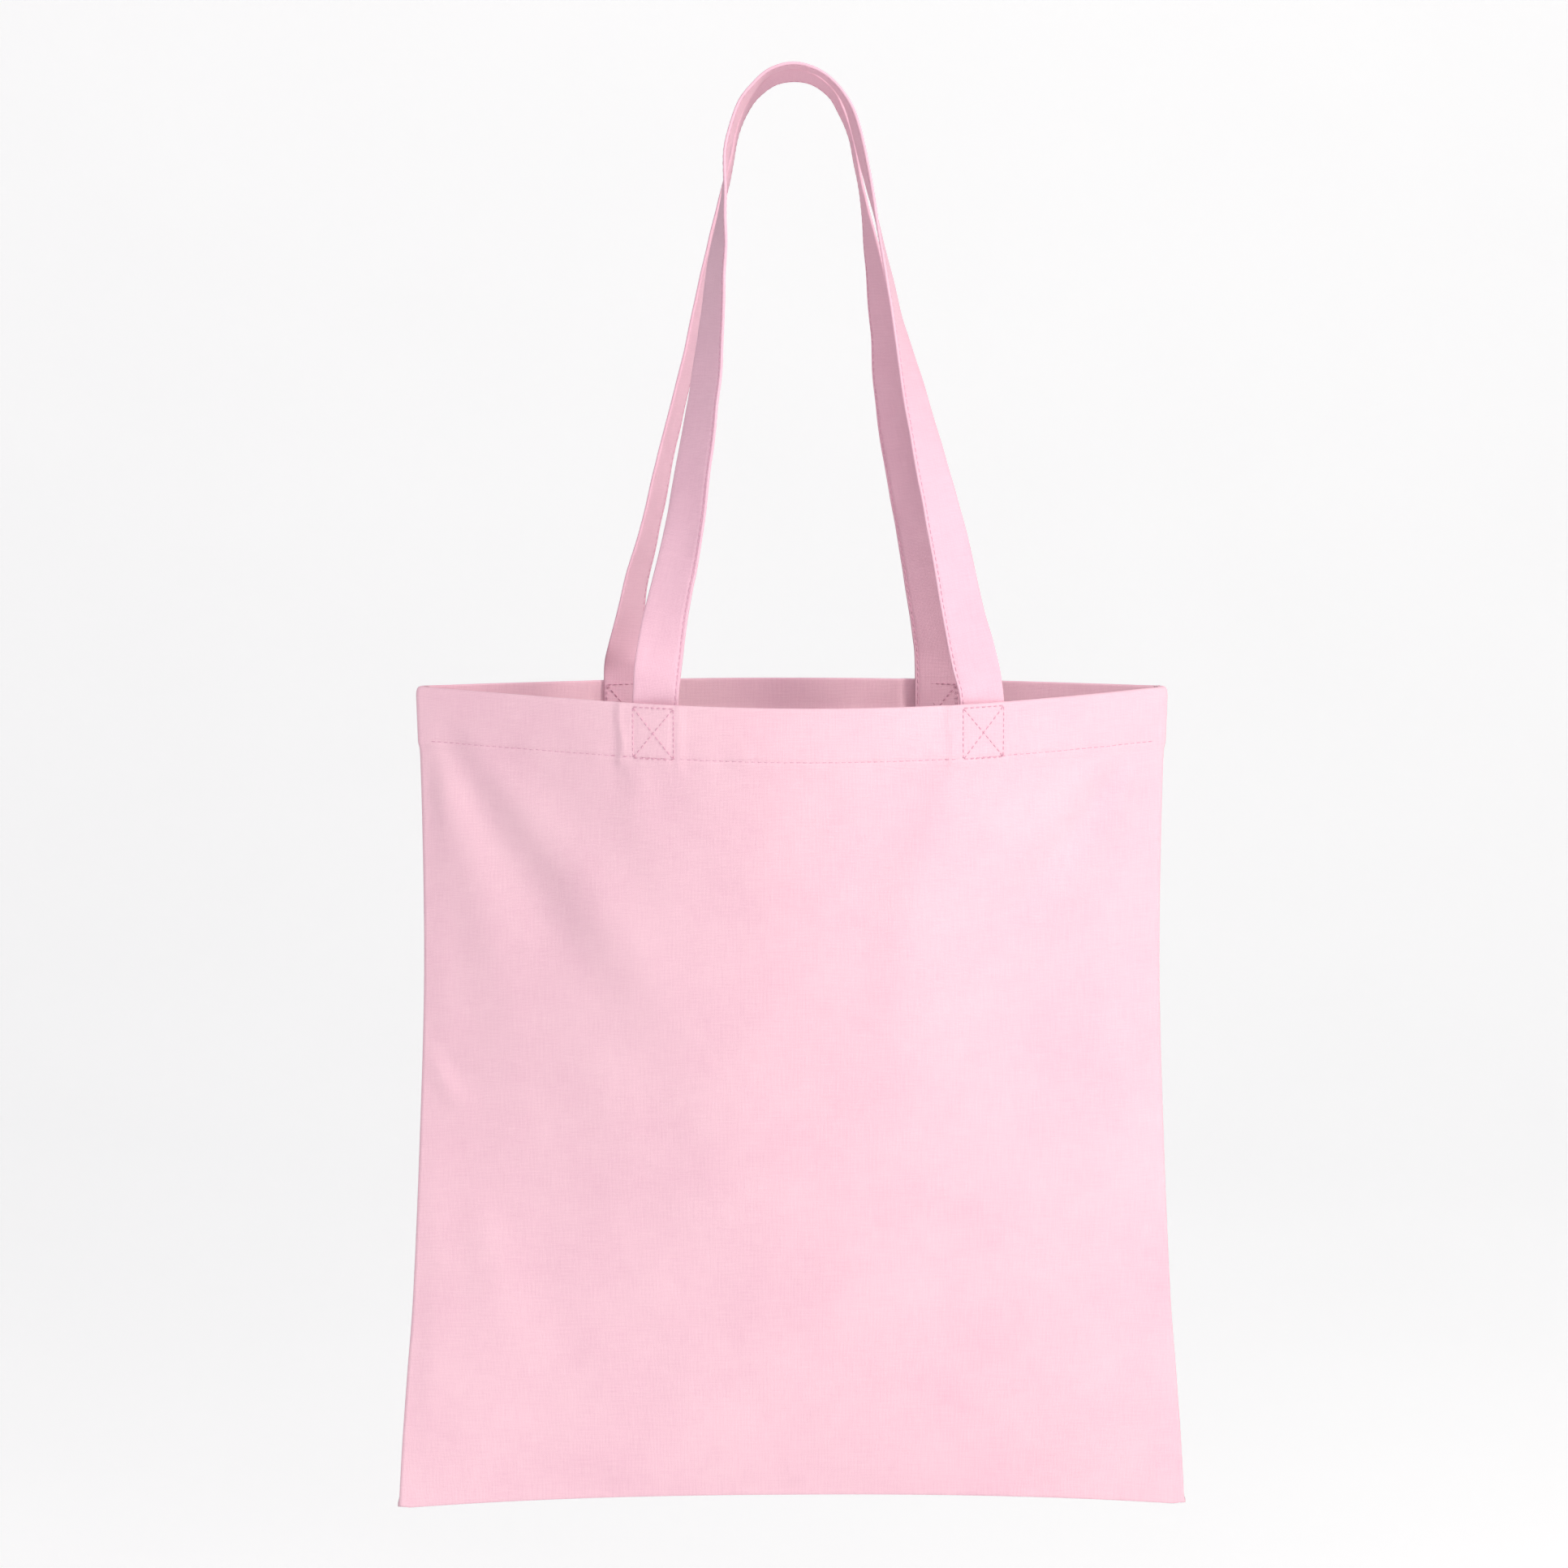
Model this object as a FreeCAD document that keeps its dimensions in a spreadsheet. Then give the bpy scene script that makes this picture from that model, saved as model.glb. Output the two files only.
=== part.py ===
import FreeCAD, Part
import math
import os
import Sketcher
from FreeCAD import Placement, Rotation, Vector

# A flat canvas tote bag, hanging by both handles from one hook. Millimetres, +Z up.
# The front of the bag faces -Y, and the origin is where the handles bear on the hook.

FRONT = -1
BACK = 1

doc = FreeCAD.newDocument("tote_bag")
sheet = doc.addObject("Spreadsheet::Sheet", "Dimensions")

driving_dimensions = [
    ("cloth_thickness", 0.8),
    ("seam_gap", 1.2),  # half the space between the panels along a side seam
    ("layer_gap", 0.1),  # air between two layers that are sewn together
    ("strap_gap", 0.5),  # between the hem's curve and the flat end of a strap
    ("seam_plane_y", -8),
    ("rim_height", -289),  # top edge of the bag
    ("waist_height", -430),
    ("hip_height", -570),
    ("base_height", -688),
    ("rim_half_width", 176),
    ("waist_half_width", 175),
    ("hip_half_width", 181),
    ("base_half_width", 190),
    ("front_rim_bulge", 62),
    ("front_waist_bulge", 50),
    ("front_hip_bulge", 26),
    ("back_rim_bulge", 34),
    ("back_waist_bulge", 28),
    ("back_hip_bulge", 15),
    ("base_bulge", 1.5),
    ("hem_depth", 27),
    ("hem_setback", 1),
    ("strap_width", 22),
    ("strap_thickness", 1.5),
    ("thread_width", 0.6),
    ("thread_proud", 0.4),
    ("thread_sunk", 0.3),
    ("handle_tilt", 9),  # how far the loops lie back from the vertical, in degrees
    ("front_loop_y", -11.5),
    ("back_loop_y", 11.5),
    ("fold_rise", 5),  # height of a handle's fold line above the rim
    ("fold_gap", 0.2),
    ("box_stitch_inset", 1.5),
    ("edge_stitch_inset", 1.5),
    ("allowance_width", 9),
    ("allowance_thickness", 1.6),
    ("allowance_inset", 2),
    ("bottom_allowance_trim", 14),
]

for row, (alias, value) in enumerate(driving_dimensions, start=1):
    sheet.set(f"A{row}", alias)
    sheet.set(f"B{row}", str(value))
    sheet.setAlias(f"B{row}", alias)
doc.recompute()


def size(alias):
    return float(getattr(sheet, alias))


def cell(alias):
    return f"Dimensions.{alias}"


def value_of(expression):
    """The number that an expression of cells gives, for a sketch's first drawing."""
    return float(sheet.evalExpression(expression))


def new_body(label):
    body = doc.addObject("PartDesign::Body", label)
    body.Label = label
    return body


def section_sketch(body, name, height):
    """A sketch parallel to the body's XY plane, at a height that is an expression."""
    sketch = body.newObject("Sketcher::SketchObject", name)
    plane = next(item for item in body.Origin.OriginFeatures if item.Role == "XY_Plane")
    sketch.AttachmentSupport = [(plane, "")]
    sketch.MapMode = "FlatFace"
    sketch.setExpression("AttachmentOffset.Base.z", height)
    return sketch


def fix_point(sketch, name, curve, end, x_value, y_value):
    """Ties one end of a curve to the sketch's origin. Each value is (number, expression)."""
    from_origin = (-1, 1)
    for axis, (number, expression) in (("X", x_value), ("Y", y_value)):
        rule = Sketcher.Constraint("Distance" + axis, *from_origin, curve, end, number)
        index = sketch.addConstraint(rule)
        sketch.renameConstraint(index, name + axis)
        sketch.setExpression(f"Constraints.{name}{axis}", expression)


def crescent_sketch(body, name, height, half_width, bulge, near, far, side):
    """A bowed strip between two arcs that bulge towards side. Near and far are where the two
    arcs meet the side seams, as expressions measured outwards from the seam plane."""
    sketch = section_sketch(body, name, height)
    half = value_of(half_width)
    depth = value_of(bulge)
    radius = (half ** 2 + depth ** 2) / (2 * depth)
    radius_rule = f"(({half_width}) ^ 2 + ({bulge}) ^ 2) / (2 * ({bulge}))"
    ends = ("Left", "Right") if side == FRONT else ("Right", "Left")
    curves = []
    for label, offset in (("near", near), ("far", far)):
        end_y = size("seam_plane_y") + side * value_of(offset)
        corner = {"Left": Vector(-half, end_y, 0), "Right": Vector(half, end_y, 0)}
        middle = Vector(0, end_y + side * depth, 0)
        curve = sketch.addGeometry(Part.Arc(corner[ends[0]], middle, corner[ends[1]]), False)
        y_value = (end_y, f"{cell('seam_plane_y')} + {side} * ({offset})")
        x_values = {"Left": (-half, f"-({half_width})"), "Right": (half, half_width)}
        for end, hand in enumerate(ends, start=1):
            fix_point(sketch, label + hand, curve, end, x_values[hand], y_value)
        index = sketch.addConstraint(Sketcher.Constraint("Radius", curve, radius))
        sketch.renameConstraint(index, label + "Radius")
        sketch.setExpression(f"Constraints.{label}Radius", radius_rule)
        curves.append((curve, corner))
    (near_curve, near_corner), (far_curve, far_corner) = curves
    for end, hand in enumerate(ends, start=1):
        line = sketch.addGeometry(Part.LineSegment(near_corner[hand], far_corner[hand]), False)
        sketch.addConstraint(Sketcher.Constraint("Coincident", line, 1, near_curve, end))
        sketch.addConstraint(Sketcher.Constraint("Coincident", line, 2, far_curve, end))
    return sketch


def rectangle_sketch(body, name, height, x_low, x_high, y_low, y_high):
    """A rectangle whose four sides are expressions."""
    sketch = section_sketch(body, name, height)
    x0, x1, y0, y1 = (value_of(side) for side in (x_low, x_high, y_low, y_high))
    points = [Vector(x0, y0, 0), Vector(x1, y0, 0), Vector(x1, y1, 0), Vector(x0, y1, 0)]
    for index in range(4):
        sketch.addGeometry(Part.LineSegment(points[index], points[(index + 1) % 4]), False)
    for index in range(4):
        sketch.addConstraint(Sketcher.Constraint("Coincident", index, 2, (index + 1) % 4, 1))
    for index in (0, 2):
        sketch.addConstraint(Sketcher.Constraint("Horizontal", index))
        sketch.addConstraint(Sketcher.Constraint("Vertical", index + 1))
    fix_point(sketch, "low", 0, 1, (x0, x_low), (y0, y_low))
    fix_point(sketch, "high", 2, 1, (x1, x_high), (y1, y_high))
    return sketch


def loft(body, sketches):
    feature = body.newObject("PartDesign::AdditiveLoft", "Loft")
    feature.Profile = sketches[0]
    feature.Sections = sketches[1:]
    feature.Ruled = True
    return body


def pad(body, sketch, length):
    feature = body.newObject("PartDesign::Pad", "Pad")
    feature.Profile = sketch
    feature.setExpression("Length", length)
    return body


def face_name(side):
    return "front" if side == FRONT else "back"


# The cloth of the pouch: each panel bows outwards at the rim and lies flat at the base.

LEVELS = ("rim", "waist", "hip", "base")


def panel(side):
    """One panel. Its hem stands upright, so the first span keeps the rim's shape."""
    name = face_name(side)
    body = new_body(f"{name}_panel")
    near = cell("seam_gap")
    far = f"{near} + {cell('cloth_thickness')}"
    spans = [(level, cell(f"{level}_height")) for level in LEVELS]
    spans.insert(1, ("rim", f"{cell('rim_height')} - {cell('hem_depth')}"))
    sketches = []
    for index, (level, height) in enumerate(spans):
        bulge = cell("base_bulge") if level == "base" else cell(f"{name}_{level}_bulge")
        half_width = cell(f"{level}_half_width")
        sketch_name = f"Level{index + 1}"
        sketches.append(
            crescent_sketch(body, sketch_name, height, half_width, bulge, near, far, side)
        )
    return loft(body, sketches)


def rim_band(label, side, low, length, near, far):
    """A level strip that follows the bow of the rim, from the height low upwards."""
    body = new_body(label)
    half_width = f"{cell('rim_half_width')} - {cell('hem_setback')}"
    bulge = cell(f"{face_name(side)}_rim_bulge")
    sketch = crescent_sketch(body, "Band", low, half_width, bulge, near, far, side)
    return pad(body, sketch, length)


def hem(side):
    """The rim's turned-in band, which lies on the inner face of its panel."""
    far = f"{cell('seam_gap')} - {cell('layer_gap')}"
    near = f"{far} - {cell('cloth_thickness')}"
    low = f"{cell('rim_height')} - {cell('hem_depth')}"
    label = f"{face_name(side)}_hem"
    return rim_band(label, side, low, cell("hem_depth"), near, far)


def hem_stitching(side):
    """The row of thread along the lower edge of the hem, on the outer face of the panel."""
    outer = f"{cell('seam_gap')} + {cell('cloth_thickness')}"
    near = f"{outer} - {cell('thread_sunk')}"
    far = f"{outer} + {cell('thread_proud')}"
    low = f"{cell('rim_height')} - {cell('hem_depth')} + 2 * {cell('thread_width')}"
    label = f"{face_name(side)}_hem_stitching"
    return rim_band(label, side, low, cell("thread_width"), near, far)


def side_seam(label, hand):
    """The overlocked seam allowance inside one side of the bag. Hand is -1 for the left."""
    body = new_body(label)
    half_thickness = f"{cell('allowance_thickness')} / 2"
    sketches = []
    for level in LEVELS:
        outer = f"{cell(f'{level}_half_width')} - {cell('allowance_inset')}"
        inner = f"{outer} - {cell('allowance_width')}"
        x_low, x_high = (f"-({outer})", f"-({inner})") if hand < 0 else (inner, outer)
        height = cell(f"{level}_height")
        if level == "rim":
            height += f" - {cell('allowance_inset')}"
        y_low = f"{cell('seam_plane_y')} - {half_thickness}"
        y_high = f"{cell('seam_plane_y')} + {half_thickness}"
        sketches.append(
            rectangle_sketch(body, level.title(), height, x_low, x_high, y_low, y_high)
        )
    return loft(body, sketches)


def bottom_seam():
    body = new_body("bottom_seam")
    half_length = f"{cell('base_half_width')} - {cell('bottom_allowance_trim')}"
    half_thickness = f"{cell('allowance_thickness')} / 2"
    sketch = rectangle_sketch(
        body,
        "Allowance",
        f"{cell('base_height')} + {cell('allowance_inset')} / 2",
        f"-({half_length})",
        half_length,
        f"{cell('seam_plane_y')} - {half_thickness}",
        f"{cell('seam_plane_y')} + {half_thickness}",
    )
    return pad(body, sketch, cell("allowance_width"))


# The handles. A handle is one strap, sewn inside the hem at both ends. Its sewn ends stand
# up to the line that it folds at, and the loop above that line is a piece of its own.
# Each station of a loop is (x, z, turn): turn is the strap's angle from edge-on to the
# front. At 90 its inner face looks to the front, and at -90 its outer face does.

FRONT_LOOP = [
    (-63, -283.8, -77), (-61.5, -272, -84), (-58.2, -251, -70), (-51, -218, -57),
    (-45.5, -184, -48), (-40.5, -150, -40), (-37.2, -118, -32), (-34.2, -85, -20),
    (-31.4, -60, -4), (-30.4, -42, 3), (-27.8, -29, 4), (-24, -18.5, 3), (-18.7, -10.8, 0),
    (-10.5, -3, -2), (0.5, 0, -3), (12, -3, -2), (20.8, -10.3, 2), (26.2, -19, 5),
    (29.8, -30, 7), (32.7, -42, 7), (36.6, -59, 2), (42, -84, -6), (48.9, -116, -13),
    (56, -148, -30), (64, -182, -45), (72, -215, -56), (79.2, -251, -66), (84.2, -272, -80),
    (86.8, -283.8, -72),
]
BACK_LOOP = [
    (-78.5, -283.8, 80), (-78.2, -272, 50), (-76.4, -256, 30), (-72.4, -236, 25),
    (-66.3, -212, 21), (-58.5, -178, 17.5), (-51.2, -148, 14), (-45.2, -120, 11.5),
    (-38.5, -90, 9), (-32.6, -62, 4), (-28.2, -43, 1), (-25.5, -30, 1), (-21.8, -20.5, 2),
    (-16.6, -12.9, 3), (-8.2, -6.2, 5), (0.5, -4.3, 6), (9.6, -6.2, 5), (18.4, -12.6, 4),
    (23, -21, 3), (27.3, -32, 2), (30, -43, 1), (32.7, -57, 1), (35.9, -75, 9),
    (39.2, -95, 20), (43.6, -126, 31), (46.9, -154, 40), (51.7, -182, 49), (62.5, -236, 61),
    (68.6, -270, 77), (69.6, -283.8, 82),
]


def rim_layer_y(side, x, depth):
    """The y of a layer behind the rim's outer face at x, where depth is its distance in."""
    half = size("rim_half_width")
    bulge = size(f"{face_name(side)}_rim_bulge")
    radius = (half ** 2 + bulge ** 2) / (2 * bulge)
    end = size("seam_gap") + size("cloth_thickness")
    bow = bulge - (radius - math.sqrt(radius ** 2 - x ** 2))
    return size("seam_plane_y") + side * (end + bow - depth)


def rim_slope(side, x):
    """The rim's direction at x, in degrees anticlockwise from +X seen from above."""
    half = size("rim_half_width")
    bulge = size(f"{face_name(side)}_rim_bulge")
    radius = (half ** 2 + bulge ** 2) / (2 * bulge)
    return -side * math.degrees(math.asin(x / radius))


def strap_depth():
    """From the rim's outer face to the middle of a strap that is sewn behind the hem."""
    layers = 2 * size("cloth_thickness") + size("layer_gap") + size("strap_gap")
    return layers + size("strap_thickness") / 2


def loop_middle_line(side, stations):
    """The loop's middle line in space: its y runs from the hem to the hook with its height."""
    hook_y = size(f"{face_name(side)}_loop_y")
    ends = (stations[0], stations[-1])
    end_y = [rim_layer_y(side, x, strap_depth()) for x, z, turn in ends]
    half_way = max(range(len(stations)), key=lambda index: stations[index][1])
    points = []
    for index, (x, z, turn) in enumerate(stations):
        hem_y = end_y[0] if index < half_way else end_y[1]
        points.append(Vector(x, hook_y + (hem_y - hook_y) * z / stations[0][1], z))
    return points


def strap_frames(side, stations):
    """A placement for each station: its X runs across the strap, and its Z along it."""
    points = loop_middle_line(side, stations)
    tilt = math.radians(size("handle_tilt"))
    away = Vector(0, math.cos(tilt), -math.sin(tilt))
    frames = []
    for index, (x, z, turn) in enumerate(stations):
        before = points[max(index - 1, 0)]
        after = points[min(index + 1, len(points) - 1)]
        along = (after - before).normalize()
        if index in (0, len(points) - 1):
            along = Vector(0, 0, 1 if index == 0 else -1)
        edge_on = (away - along * away.dot(along)).normalize()
        inwards = edge_on.cross(along)
        angle = math.radians(turn)
        across = inwards * math.sin(angle) + edge_on * math.cos(angle)
        frames.append(Placement(points[index], Rotation(across, along.cross(across), along, "ZXY")))
    return frames


def strap_loft(label, side, stations, x_low, x_high, half_thickness):
    """Sweeps one rectangle along a loop: x runs across the strap from its outer edge."""
    body = new_body(label)
    sketches = []
    for index, frame in enumerate(strap_frames(side, stations)):
        name = f"Station{index + 1}"
        sketch = rectangle_sketch(
            body, name, "0", x_low, x_high, f"-({half_thickness})", half_thickness
        )
        sketch.setExpression("AttachmentOffset.Base.z", None)
        sketch.AttachmentOffset = frame
        sketches.append(sketch)
    return loft(body, sketches)


def handle(side, stations):
    half = f"{cell('strap_width')} / 2"
    thickness = f"{cell('strap_thickness')} / 2"
    return strap_loft(f"{face_name(side)}_handle", side, stations, f"-({half})", half, thickness)


def handle_stitching(side, stations):
    """The row of thread along the inner edge of a loop, right through the strap."""
    outer = f"{cell('strap_width')} / 2 - {cell('edge_stitch_inset')}"
    inner = f"{outer} - {cell('thread_width')}"
    low, high = (f"-({outer})", f"-({inner})") if side == FRONT else (inner, outer)
    thickness = f"{cell('strap_thickness')} / 2 + {cell('thread_proud')} / 2"
    label = f"{face_name(side)}_handle_stitching"
    return strap_loft(label, side, stations, low, high, thickness)


def handle_end(label, side, x):
    """The sewn end of a strap, behind the hem and up to the fold line."""
    body = new_body(label)
    half = f"{cell('strap_width')} / 2"
    thickness = f"{cell('strap_thickness')} / 2"
    sketch = rectangle_sketch(
        body, "Strap", "0", f"-({half})", half, f"-({thickness})", thickness
    )
    length = f"{cell('hem_depth')} + {cell('fold_rise')} - {cell('fold_gap')}"
    pad(body, sketch, length)
    low = size("rim_height") - size("hem_depth")
    place = Vector(x, rim_layer_y(side, x, strap_depth()), low)
    body.Placement = Placement(place, Rotation(Vector(0, 0, 1), rim_slope(side, x)))
    return body


def box_stitching(label, side, x):
    """A square of thread with its two diagonals, over a strap's sewn end."""
    inset = cell("box_stitch_inset")
    thread = cell("thread_width")
    across = f"({cell('strap_width')} - 2 * {inset})"
    tall = f"({cell('hem_depth')} - 2 * {inset})"
    depth = f"{cell('thread_proud')} + {cell('thread_sunk')}"
    diagonal = f"sqrt({across} ^ 2 + {tall} ^ 2) - 2 * {thread}"
    width = value_of(across)
    height = value_of(tall)
    half_thread = value_of(thread) / 2
    lean = math.degrees(math.atan2(width, height))
    runs = [
        ("Left", tall, Vector(-width / 2, 0, 0), 0),
        ("Right", tall, Vector(width / 2, 0, 0), 0),
        ("Bottom", across, Vector(0, 0, -height / 2), 90),
        ("Top", across, Vector(0, 0, height / 2), 90),
        ("Rising", diagonal, Vector(0, 0, 0), lean),
        ("Falling", diagonal, Vector(0, 0, 0), -lean),
    ]
    middle = Vector(
        x,
        rim_layer_y(side, x, (size("thread_sunk") - size("thread_proud")) / 2),
        size("rim_height") - size("hem_depth") / 2,
    )
    turn = Rotation(Vector(0, 0, 1), rim_slope(side, x))
    boxes = []
    for name, length, place, angle in runs:
        box = doc.addObject("Part::Box", f"{label}_{name}")
        box.setExpression("Length", thread)
        box.setExpression("Width", depth)
        box.setExpression("Height", length)
        corner = Vector(-half_thread, -value_of(depth) / 2, -value_of(length) / 2)
        spin = Rotation(Vector(0, 1, 0), angle)
        box.Placement = Placement(place + spin.multVec(corner), spin)
        boxes.append(box)
    square = doc.addObject("Part::MultiFuse", label)
    square.Label = label
    square.Shapes = boxes
    square.Placement = Placement(middle, turn)
    return square


sub_parts = [
    panel(FRONT),
    panel(BACK),
    hem(FRONT),
    hem(BACK),
    hem_stitching(FRONT),
    hem_stitching(BACK),
    side_seam("left_side_seam", -1),
    side_seam("right_side_seam", 1),
    bottom_seam(),
]
for side, stations in ((FRONT, FRONT_LOOP), (BACK, BACK_LOOP)):
    sub_parts.append(handle(side, stations))
    sub_parts.append(handle_stitching(side, stations))
    for hand, station in (("left", stations[0]), ("right", stations[-1])):
        name = f"{face_name(side)}_{hand}"
        sub_parts.append(handle_end(f"{name}_handle_end", side, station[0]))
        sub_parts.append(box_stitching(f"{name}_box_stitching", side, station[0]))

doc.recompute()

for item in doc.Objects:
    if "Invalid" in item.State or "Error" in item.State:
        raise RuntimeError(f"{item.Label} failed: {item.State}")
for item in sub_parts:
    if item.Shape.isNull() or not item.Shape.isValid():
        raise RuntimeError(f"{item.Label} has no valid shape")
    if item.Shape.Volume <= 0:
        raise RuntimeError(f"{item.Label} is inside out")

for side, stations in ((FRONT, FRONT_LOOP), (BACK, BACK_LOOP)):
    line = loop_middle_line(side, stations)
    free = sum((b - a).Length for a, b in zip(line, line[1:]))
    sewn = 2 * (size("hem_depth") + size("fold_rise"))
    print(f"{face_name(side)} strap: {free:.0f} mm of loop and {free + sewn:.0f} mm in all")
    for x, z, turn in (stations[0], stations[-1]):
        y = rim_layer_y(side, x, strap_depth())
        print(f"  fold at x {x}, y {y:.2f}, rim slope {rim_slope(side, x):.2f} degrees")

os.makedirs("parts", exist_ok=True)
for item in sub_parts:
    item.Shape.exportStep(f"parts/{item.Label}.step")
    print(f"{item.Label}: {item.Shape.Volume / 1000:.2f} cm3")
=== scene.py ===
import bpy
import bmesh
import functools
import math
from mathutils import Matrix, Vector, noise


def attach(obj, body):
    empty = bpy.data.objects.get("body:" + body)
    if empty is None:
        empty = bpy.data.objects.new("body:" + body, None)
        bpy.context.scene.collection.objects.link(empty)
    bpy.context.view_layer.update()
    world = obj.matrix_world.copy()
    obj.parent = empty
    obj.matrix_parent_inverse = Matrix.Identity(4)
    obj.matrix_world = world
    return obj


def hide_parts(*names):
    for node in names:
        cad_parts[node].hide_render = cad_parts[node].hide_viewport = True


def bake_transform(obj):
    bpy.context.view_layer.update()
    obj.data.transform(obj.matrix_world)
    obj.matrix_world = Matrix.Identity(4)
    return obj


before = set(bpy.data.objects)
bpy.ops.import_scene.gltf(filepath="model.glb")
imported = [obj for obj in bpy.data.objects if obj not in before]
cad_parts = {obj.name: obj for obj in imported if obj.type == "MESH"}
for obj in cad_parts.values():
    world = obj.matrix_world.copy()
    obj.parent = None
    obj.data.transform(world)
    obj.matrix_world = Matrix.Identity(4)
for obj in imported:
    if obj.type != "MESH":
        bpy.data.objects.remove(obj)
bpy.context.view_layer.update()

scene = bpy.context.scene

# A flat cotton tote hanging by both straps from one point. Metres, +Z up, front towards -Y.
frontSide = -1
backSide = 1


# Camera, light and floor

camera = {
    "place": (-0.0037, -2.095, -0.005),
    "pitch": 81,  # degrees up from straight down
    "lens": 102.6,
}

studio = {
    "floorZ": -1.05,
    "halfWidth": 4.5,
    "floorFront": -4.0,
    "bendStart": 2.2,  # y where the floor starts to curve up into the backdrop
    "bendRadius": 1.6,
    "backdropTop": 3.2,
    "floorColour": (0.90, 0.895, 0.89, 1),
    "worldColour": (0.93, 0.94, 1.0, 1),
    "worldStrength": 0.36,
    "paperGlow": 0.29,
}

lamps = [
    {
        "name": "keyLamp", "place": (2.35, -2.05, 1.20), "aim": (0.0, -0.03, -0.42),
        "size": 1.1, "power": 64, "colour": (1.0, 1.0, 0.91),
    },
    {
        "name": "frontLamp", "place": (0.1, -4.0, 1.2), "aim": (0.0, -0.03, -0.3),
        "size": 3.5, "power": 64, "colour": (1.0, 0.97, 0.98),
    },
    {
        "name": "topLamp", "place": (0.25, -1.15, 1.80), "aim": (0.0, 0.0, -0.25),
        "size": 1.4, "power": 15, "colour": (1.0, 0.96, 1.0),
    },
]


def addCamera():
    data = bpy.data.cameras.new("camera")
    data.sensor_width = 36
    data.lens = camera["lens"]
    data.clip_end = 50
    data.dof.use_dof = False
    holder = bpy.data.objects.new("camera", data)
    holder.location = camera["place"]
    holder.rotation_euler = (math.radians(camera["pitch"]), 0, 0)
    scene.collection.objects.link(holder)
    scene.camera = holder


def addLamps():
    for lamp in lamps:
        data = bpy.data.lights.new(lamp["name"], "AREA")
        data.shape = "DISK"
        data.size = lamp["size"]
        data.energy = lamp["power"]
        data.color = lamp["colour"]
        holder = bpy.data.objects.new(lamp["name"], data)
        holder.location = lamp["place"]
        aim = Vector(lamp["aim"]) - Vector(lamp["place"])
        holder.rotation_euler = aim.to_track_quat("-Z", "Y").to_euler()
        scene.collection.objects.link(holder)


def addWorld():
    scene.view_settings.view_transform = "Standard"
    scene.world = bpy.data.worlds.new("studioSky")
    scene.world.use_nodes = True
    sky = scene.world.node_tree.nodes["Background"]
    sky.inputs["Color"].default_value = studio["worldColour"]
    sky.inputs["Strength"].default_value = studio["worldStrength"]


# Shaders

class Wire:
    # an output socket that can be calculated with
    def __init__(self, tree, socket):
        self.tree = tree
        self.socket = socket

    def node(self, kind, settings=None, inputs=None, output=0):
        made = self.tree.nodes.new(kind)
        for name, value in (settings or {}).items():
            setattr(made, name, value)
        for name, value in (inputs or {}).items():
            if isinstance(value, Wire):
                self.tree.links.new(value.socket, made.inputs[name])
            else:
                made.inputs[name].default_value = value
        return Wire(self.tree, made.outputs[output])

    def maths(self, operation, *values):
        return self.node("ShaderNodeMath", {"operation": operation}, dict(enumerate(values)))

    def __add__(self, other):
        return self.maths("ADD", self, other)

    def __sub__(self, other):
        return self.maths("SUBTRACT", self, other)

    def __mul__(self, other):
        return self.maths("MULTIPLY", self, other)

    def __rsub__(self, other):
        return self.maths("SUBTRACT", other, self)

    __radd__ = __add__
    __rmul__ = __mul__

    def part(self, index):
        # another output of the same node
        return Wire(self.tree, self.socket.node.outputs[index])

    def wave(self, period):
        return self.maths("SINE", self * (math.pi / period))

    def size(self):
        return self.maths("ABSOLUTE", self)

    def band(self, low, high):
        settings = {"interpolation_type": "SMOOTHSTEP", "clamp": True}
        inputs = {"Value": self, "From Min": low, "From Max": high}
        return self.node("ShaderNodeMapRange", settings, inputs)

    def mixed(self, first, second):
        settings = {"data_type": "RGBA", "clamp_factor": True}
        return self.node("ShaderNodeMix", settings, {0: self, 6: first, 7: second}, 2)

    def blotches(self, scale, detail=2.0, roughness=0.5):
        inputs = {"Vector": self, "Scale": scale, "Detail": detail, "Roughness": roughness}
        return self.node("ShaderNodeTexNoise", {"noise_dimensions": "3D"}, inputs)


def newMaterial(name):
    material = bpy.data.materials.new(name)
    material.use_nodes = True
    tree = material.node_tree
    shader = next(item for item in tree.nodes if item.type == "BSDF_PRINCIPLED")
    return material, tree, shader


def linear(colour):
    # a display colour, 0 to 255, as scene light
    made = []
    for part in colour:
        value = part / 255
        made.append(value / 12.92 if value <= 0.04045 else ((value + 0.055) / 1.055) ** 2.4)
    return (*made, 1)


canvasFinish = {
    "pitch": 0.00052,  # from one thread to the next
    "wander": 1.6,  # how many pitches a thread strays sideways
    "cloth": (240, 199, 210),
    # darker colour: painted shade in the hollows between threads, and the darker lengths of yarn
    "darkYarnAndHollowShade": (225, 176, 194),  # in the hollows between threads
    "slubScale": 75,
    "slubStretch": 26,
    "cloudScale": 17,
    "fuzzScale": 2600,
    "toneShares": {"crown": 0.42, "slub": 0.95, "cloud": 0.62, "fuzz": 0.30},
    "toneShift": 0.61,
    "heightShares": {"crown": 0.55, "slub": 0.85, "fuzz": 0.25},
    "bump": 0.00015,
    "roughness": 0.86,
    "hollowRoughness": 0.08,
    "sheen": 0.18,
    "sheenRoughness": 0.45,
    "sheenTint": (1.0, 0.93, 0.95, 1),
    "specular": 0.22,
}

strapFinish = {**canvasFinish, "cloth": (238, 193, 208), "darkYarnAndHollowShade": (222, 172, 191)}


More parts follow.
